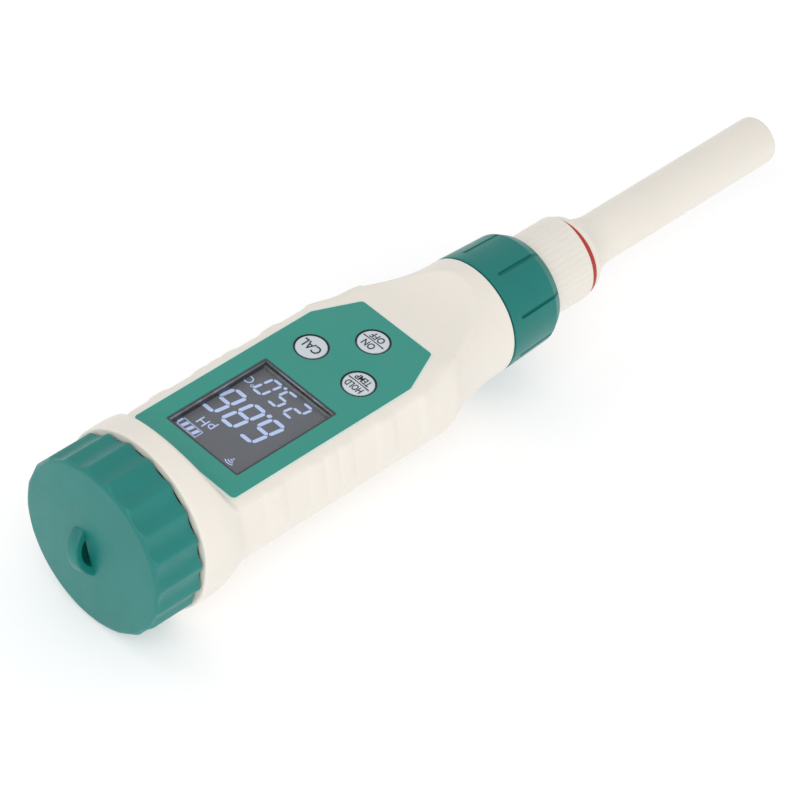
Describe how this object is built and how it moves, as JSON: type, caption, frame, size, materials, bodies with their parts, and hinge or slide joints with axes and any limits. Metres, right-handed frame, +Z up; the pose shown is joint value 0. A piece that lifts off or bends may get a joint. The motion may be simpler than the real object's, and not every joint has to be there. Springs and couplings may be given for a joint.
{
  "type": "ph meter",
  "caption": "Pen-shaped pH meter: green-faced barrel with a display and keys, screw battery cap with lanyard eye, union nut, ribbed electrode collar and pull-off probe cap.",
  "frame": {"origin": "on the resting surface, under the middle of the overall length and of the width", "axes": "+Y along the pen from the probe tip to the battery cap, +Z up out of the display face, +X to the right of the display as its text is read"},
  "size_m": [0.0388, 0.1938, 0.0384],
  "materials": {
    "cream_plastic": "satin moulded plastic",
    "green_cap_plastic": "satin-gloss moulded plastic",
    "green_nut_plastic": "satin-gloss moulded plastic",
    "overlay_film": "printed polyester film",
    "clear_window": "clear lens",
    "lcd": "dark display glass",
    "key_plastic": "light grey key",
    "black_plastic": "black moulded plastic",
    "white_plastic": "white light guide",
    "black_rubber": "rubber",
    "red_rubber": "red silicone rubber",
    "board": "green solder mask",
    "nickel": "nickel-plated metal",
    "steel": "steel",
    "cell_jacket": "printed steel can",
    "thin_glass": "pH glass",
    "silver": "chlorided silver",
    "gold_pin": "gold-plated pin",
    "porous_ceramic": "porous junction",
    "sponge": "damp foam",
    "blue_polymer": "dark electrode tube"
  },
  "bodies": {
    "housing": {"housing": "cream_plastic", "front_overlay": "overlay_film", "window_lens": "clear_window", "window_gasket": "black_rubber", "lcd_glass": "lcd", "lcd_backlight": "white_plastic", "lcd_frame": "black_plastic", "zebra_strip": "black_rubber", "main_pcb": "board", "board_chips": "black_plastic", "wireless_module": "nickel", "switch_cal": "black_plastic", "switch_on_off": "black_plastic", "switch_hold_temp": "black_plastic", "board_screws": "steel", "battery_holder": "black_plastic", "cell_left": "cell_jacket", "cell_right": "cell_jacket", "spring_contact": "nickel", "plate_contact": "nickel", "strip_minus": "nickel", "strip_plus": "nickel", "socket_block": "black_plastic", "socket_board": "board", "socket_tails": "gold_pin", "link_ribbon": "white_plastic"},
    "cap_seal": {"cap_seal": "black_rubber"},
    "battery_cap": {"battery_cap": "green_cap_plastic", "cap_contact_plate": "nickel"},
    "electrode": {"electrode_body": "cream_plastic", "electrode_stem": "blue_polymer", "glass_bulb": "thin_glass", "reference_junction": "porous_ceramic", "silver_wire": "silver", "temperature_sensor": "steel", "plug_pins": "gold_pin", "plug_seal": "black_rubber", "nose_gasket": "black_rubber", "nut_washer": "white_plastic", "probe_seal_ring": "red_rubber"},
    "ring_nut": {"ring_nut": "green_nut_plastic"},
    "probe_cap": {"probe_cap": "cream_plastic", "cap_sponge": "sponge"},
    "key_cal": {"key_cal": "key_plastic", "stem_cal": "black_plastic"},
    "key_on_off": {"key_on_off": "key_plastic", "stem_on_off": "black_plastic"},
    "key_hold_temp": {"key_hold_temp": "key_plastic", "stem_hold_temp": "black_plastic"}
  },
  "joints": [
    {"name": "cap_lift", "type": "slide", "parent": "housing", "child": "cap_seal", "axis": [0, 1, 0], "range_m": [0, 0.00501]},
    {"name": "cap_unscrew", "type": "hinge", "parent": "cap_seal", "child": "battery_cap", "pos_m": [0, 0.088, 0.019], "axis": [0, 1, 0], "range_deg": [0, 900]},
    {"name": "electrode_lift", "type": "slide", "parent": "housing", "child": "electrode", "axis": [0, -1, 0], "range_m": [0, 0.003]},
    {"name": "nut_unscrew", "type": "hinge", "parent": "electrode", "child": "ring_nut", "pos_m": [0, -0.015, 0.019], "axis": [0, -1, 0], "range_deg": [0, 720]},
    {"name": "probe_cap_pull", "type": "slide", "parent": "electrode", "child": "probe_cap", "axis": [0, -1, 0], "range_m": [0, 0.06]},
    {"name": "key_cal_press", "type": "slide", "parent": "housing", "child": "key_cal", "axis": [0, 0, -1], "range_m": [0, 0.0003], "stiffness_N_per_m": 3000, "springref_m": -0.0002},
    {"name": "key_on_off_press", "type": "slide", "parent": "housing", "child": "key_on_off", "axis": [0, 0, -1], "range_m": [0, 0.0003], "stiffness_N_per_m": 3000, "springref_m": -0.0002},
    {"name": "key_hold_temp_press", "type": "slide", "parent": "housing", "child": "key_hold_temp", "axis": [0, 0, -1], "range_m": [0, 0.0003], "stiffness_N_per_m": 3000, "springref_m": -0.0002}
  ],
  "couplings": [
    {"joint": "cap_lift", "follows": "cap_unscrew", "m_per_rad": 0.00031831},
    {"joint": "electrode_lift", "follows": "nut_unscrew", "m_per_rad": 0.00023873}
  ]
}
